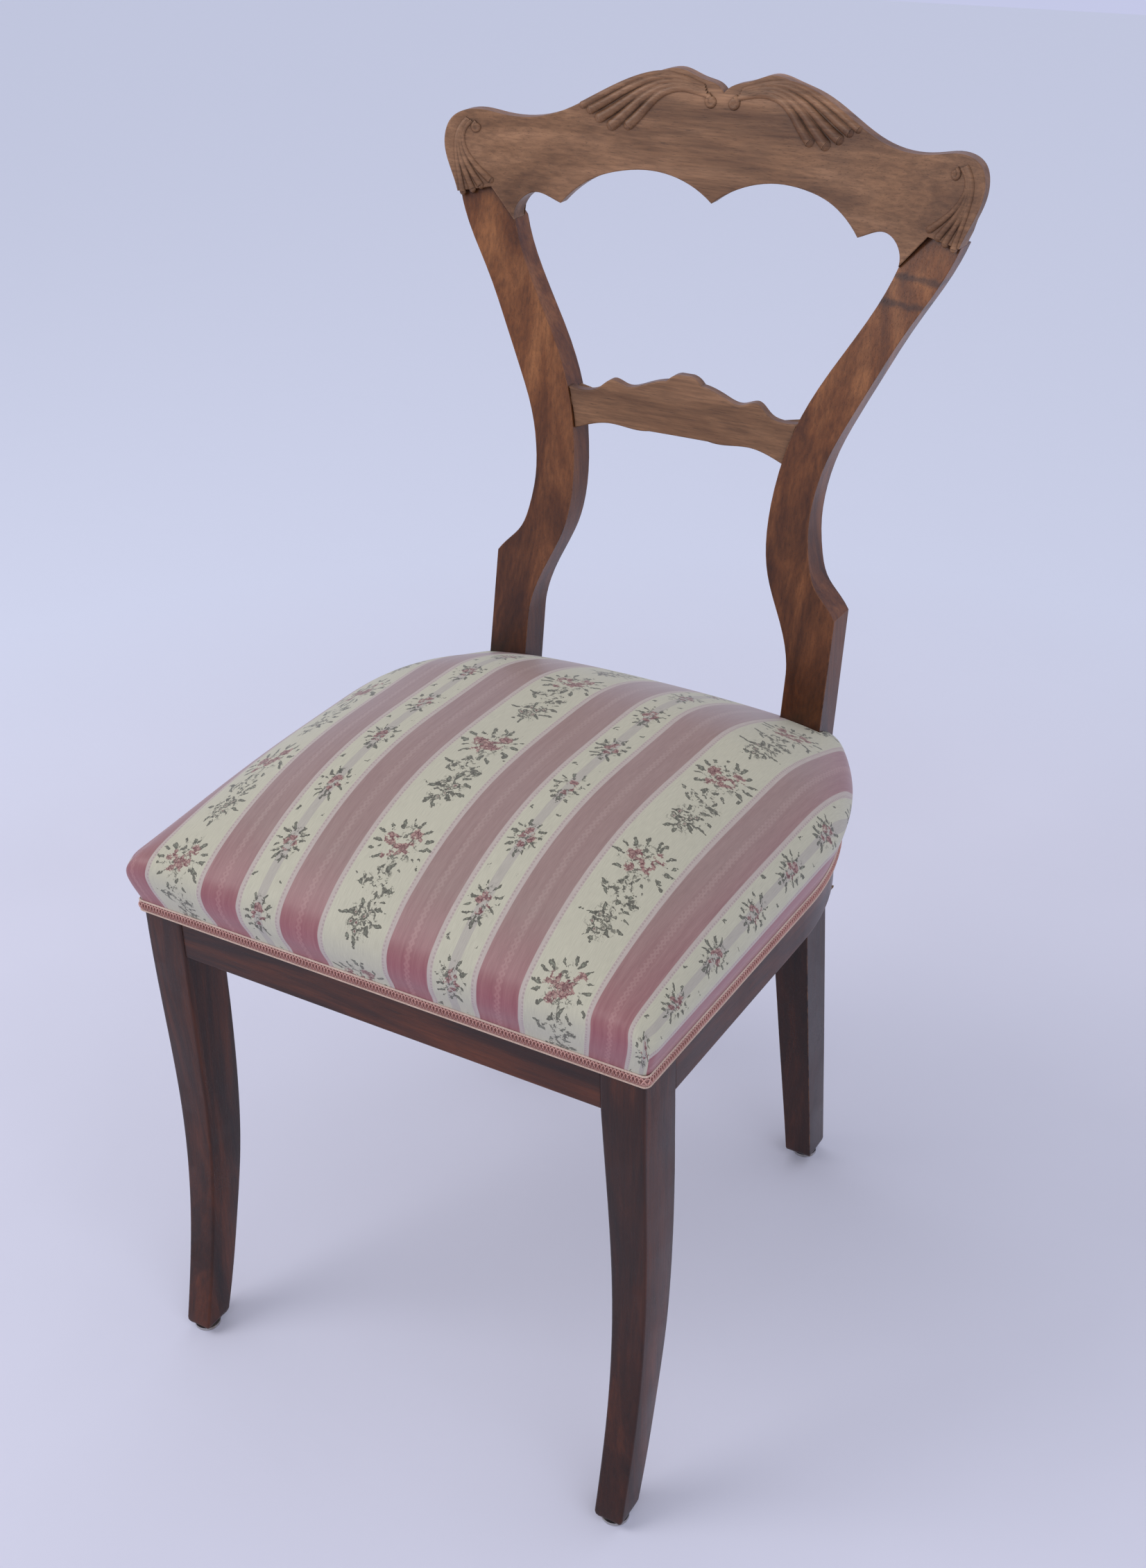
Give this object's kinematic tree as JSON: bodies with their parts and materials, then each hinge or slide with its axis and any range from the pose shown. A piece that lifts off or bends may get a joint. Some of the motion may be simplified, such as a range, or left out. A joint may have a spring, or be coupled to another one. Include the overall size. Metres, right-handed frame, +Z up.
{
  "type": "chair",
  "caption": "Side chair with sabre legs, an open scalloped back with a carved crest rail, and a sprung seat covered in striped flowered fabric with gimp braid.",
  "frame": {"origin": "on the floor, in the middle of the chair", "axes": "+Z up, +Y from the front of the seat to the back, +X to the right as seen from in front"},
  "size_m": [0.458, 0.5631, 0.9301],
  "materials": {
    "stained_walnut": "aged shellac over dark stained walnut, worn at the edges",
    "faded_walnut": "aged shellac, faded to a paler brown",
    "bare_beech": "raw sawn beech",
    "striped_fabric": "satin stripes in dusty rose on cream, with woven flower sprays",
    "gimp": "woven gimp braid, dusty salmon pink",
    "curled_hair": "curled horsehair",
    "hessian": "plain hessian",
    "jute_webbing": "herringbone jute webbing",
    "spring_wire": "coppered steel wire, dulled",
    "blued_steel": "blued tacks",
    "screw_steel": "plain steel",
    "glide_steel": "nickelled steel, worn"
  },
  "bodies": {
    "root": {"back_seat_rail": "stained_walnut", "corner_block_screws": "screw_steel", "crest_dowels": "bare_beech", "crest_rail": "faded_walnut", "cross_rail": "faded_walnut", "front_corner_block_left": "bare_beech", "front_corner_block_right": "bare_beech", "front_leg_left": "stained_walnut", "front_leg_right": "stained_walnut", "front_seat_rail": "stained_walnut", "gimp_braid": "gimp", "glide_front_left": "glide_steel", "glide_front_right": "glide_steel", "glide_rear_left": "glide_steel", "glide_rear_right": "glide_steel", "hair_stuffing": "curled_hair", "rear_corner_block_left": "bare_beech", "rear_corner_block_right": "bare_beech", "rear_post_left": "stained_walnut", "rear_post_right": "stained_walnut", "seat_cover": "striped_fabric", "seat_spring_1": "spring_wire", "seat_spring_2": "spring_wire", "seat_spring_3": "spring_wire", "seat_spring_4": "spring_wire", "seat_spring_5": "spring_wire", "side_seat_rail_left": "stained_walnut", "side_seat_rail_right": "stained_walnut", "spring_canvas": "hessian", "webbing_strap_crosswise_1": "jute_webbing", "webbing_strap_crosswise_2": "jute_webbing", "webbing_strap_crosswise_3": "jute_webbing", "webbing_strap_lengthwise_1": "jute_webbing", "webbing_strap_lengthwise_2": "jute_webbing", "webbing_strap_lengthwise_3": "jute_webbing", "webbing_tacks": "blued_steel"}
  },
  "joints": []
}
